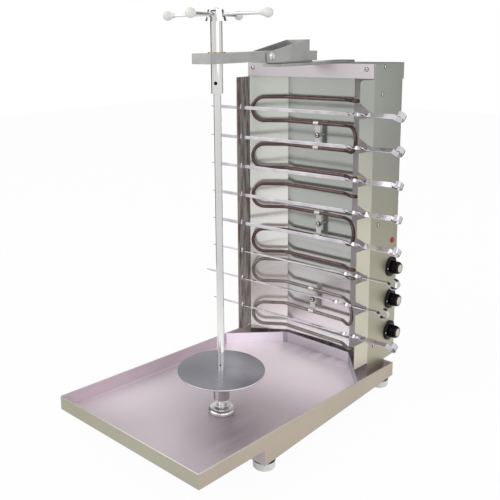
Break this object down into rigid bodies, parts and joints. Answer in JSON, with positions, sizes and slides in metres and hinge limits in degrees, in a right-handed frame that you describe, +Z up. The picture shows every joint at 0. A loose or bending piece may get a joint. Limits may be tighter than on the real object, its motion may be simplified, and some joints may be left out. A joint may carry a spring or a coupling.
{
  "type": "doner kebab grill",
  "caption": "Upright electric kebab grill: sheet steel housing with reflectors and serpentine heaters, side skewers, a hand-turned spit with carrier disc, and a sloping drip pan on feet.",
  "frame": {"origin": "on the standing surface, midway between the four feet", "axes": "+Z up; +X towards the side with the knobs; -Y towards the front, where the drip pan and the spit stand"},
  "size_m": [0.5219, 0.6945, 0.8337],
  "materials": {
    "pan_steel": "fine brushed sheet",
    "guard_steel": "bright sheet",
    "hidden_steel": "mill finish",
    "foot_plastic": "moulded, pale",
    "rubber": "matt black",
    "housing_steel": "satin sheet",
    "reflector_steel": "satin sheet, faint reflections",
    "element_dark": "oxidised heater sheath",
    "element_grey": "heater sheath, greyed",
    "clip_steel": "bright strip",
    "ceramic": "unglazed ceramic",
    "switch_plastic": "moulded housing",
    "lamp_red": "translucent red lens",
    "terminal_plastic": "moulded",
    "arm_steel": "satin sheet",
    "cap_steel": "bright sheet",
    "bronze": "turned bush",
    "bright_steel": "bright",
    "rod_steel": "ground round bar",
    "disc_steel": "turned disc",
    "ball_ivory": "smooth",
    "skewer_steel": "polished strip",
    "knob_black": "moulded black",
    "insert_ivory": "pale disc"
  },
  "bodies": {
    "frame": {"drip_pan": "pan_steel", "base_plate": "hidden_steel", "feet": "foot_plastic", "foot_rings": "rubber", "foot_screws": "hidden_steel", "left_drip_guard": "guard_steel", "right_drip_guard": "guard_steel", "left_side_panel": "housing_steel", "right_side_panel": "housing_steel", "rear_cover": "housing_steel", "roof_cover": "housing_steel", "top_bar": "housing_steel", "left_reflector": "reflector_steel", "back_reflector": "reflector_steel", "right_reflector": "reflector_steel", "heating_element_1": "element_dark", "heating_element_2": "element_dark", "heating_element_3": "element_grey", "element_clips": "clip_steel", "terminal_sleeves": "ceramic", "rotary_switches": "switch_plastic", "indicator_lamp": "lamp_red", "terminal_block": "terminal_plastic", "cable_gland": "rubber", "bracket_plate": "arm_steel", "roof_bracket": "arm_steel", "front_arm": "arm_steel", "arm_bushing": "bronze", "arm_bolt": "bright_steel", "panel_screws": "bright_steel", "dome_bearing": "bright_steel"},
    "spit": {"spit_rod": "rod_steel"},
    "handle": {"handle_tube": "rod_steel", "cross_handle": "rod_steel", "handle_cap": "cap_steel", "ball_knobs": "ball_ivory"},
    "carrier": {"carrier_disc": "disc_steel", "disc_hub": "rod_steel"},
    "thumb_screw": {"thumb_screw": "bright_steel"},
    "skewer_1": {"skewer_1": "skewer_steel"},
    "skewer_2": {"skewer_2": "skewer_steel"},
    "skewer_3": {"skewer_3": "skewer_steel"},
    "skewer_4": {"skewer_4": "skewer_steel"},
    "skewer_5": {"skewer_5": "skewer_steel"},
    "skewer_6": {"skewer_6": "skewer_steel"},
    "skewer_7": {"skewer_7": "skewer_steel"},
    "skewer_8": {"skewer_8": "skewer_steel"},
    "knob_1": {"knob_1": "knob_black", "knob_insert_1": "insert_ivory"},
    "knob_2": {"knob_2": "knob_black", "knob_insert_2": "insert_ivory"},
    "knob_3": {"knob_3": "knob_black", "knob_insert_3": "insert_ivory"}
  },
  "joints": [
    {"name": "spit_spin", "type": "hinge", "parent": "frame", "child": "spit", "pos_m": [0.0408, -0.1826, 0.064], "axis": [0, 0, 1], "continuous": true},
    {"name": "handle_lift", "type": "slide", "parent": "spit", "child": "handle", "axis": [0, 0, 1], "range_m": [0, 0.062]},
    {"name": "carrier_lift", "type": "slide", "parent": "spit", "child": "carrier", "axis": [0, 0, 1], "range_m": [0, 0.5]},
    {"name": "thumb_screw_turn", "type": "hinge", "parent": "carrier", "child": "thumb_screw", "pos_m": [0.03941, -0.16666, 0.099], "axis": [-0.0872, 0.9962, 0], "range_deg": [0, 360]},
    {"name": "skewer_1_turn", "type": "hinge", "parent": "frame", "child": "skewer_1", "pos_m": [0.16623, 0.142, 0.62], "axis": [0.9985, 0.0541, 0], "continuous": true},
    {"name": "skewer_2_turn", "type": "hinge", "parent": "frame", "child": "skewer_2", "pos_m": [0.16623, 0.142, 0.55], "axis": [0.9985, 0.0541, 0], "continuous": true},
    {"name": "skewer_3_turn", "type": "hinge", "parent": "frame", "child": "skewer_3", "pos_m": [0.16623, 0.142, 0.48], "axis": [0.9985, 0.0541, 0], "continuous": true},
    {"name": "skewer_4_turn", "type": "hinge", "parent": "frame", "child": "skewer_4", "pos_m": [0.16623, 0.142, 0.41], "axis": [0.9985, 0.0541, 0], "continuous": true},
    {"name": "skewer_5_turn", "type": "hinge", "parent": "frame", "child": "skewer_5", "pos_m": [0.16623, 0.142, 0.34], "axis": [0.9985, 0.0541, 0], "continuous": true},
    {"name": "skewer_6_turn", "type": "hinge", "parent": "frame", "child": "skewer_6", "pos_m": [0.16623, 0.142, 0.27], "axis": [0.9985, 0.0541, 0], "continuous": true},
    {"name": "skewer_7_turn", "type": "hinge", "parent": "frame", "child": "skewer_7", "pos_m": [0.16623, 0.142, 0.2], "axis": [0.9985, 0.0541, 0], "continuous": true},
    {"name": "skewer_8_turn", "type": "hinge", "parent": "frame", "child": "skewer_8", "pos_m": [0.16623, 0.142, 0.13], "axis": [0.9985, 0.0541, 0], "continuous": true},
    {"name": "knob_1_turn", "type": "hinge", "parent": "frame", "child": "knob_1", "pos_m": [0.168, 0.247, 0.27], "axis": [1, 0, 0], "range_deg": [0, 270]},
    {"name": "knob_2_turn", "type": "hinge", "parent": "frame", "child": "knob_2", "pos_m": [0.168, 0.247, 0.194], "axis": [1, 0, 0], "range_deg": [0, 270]},
    {"name": "knob_3_turn", "type": "hinge", "parent": "frame", "child": "knob_3", "pos_m": [0.168, 0.247, 0.118], "axis": [1, 0, 0], "range_deg": [0, 270]}
  ]
}
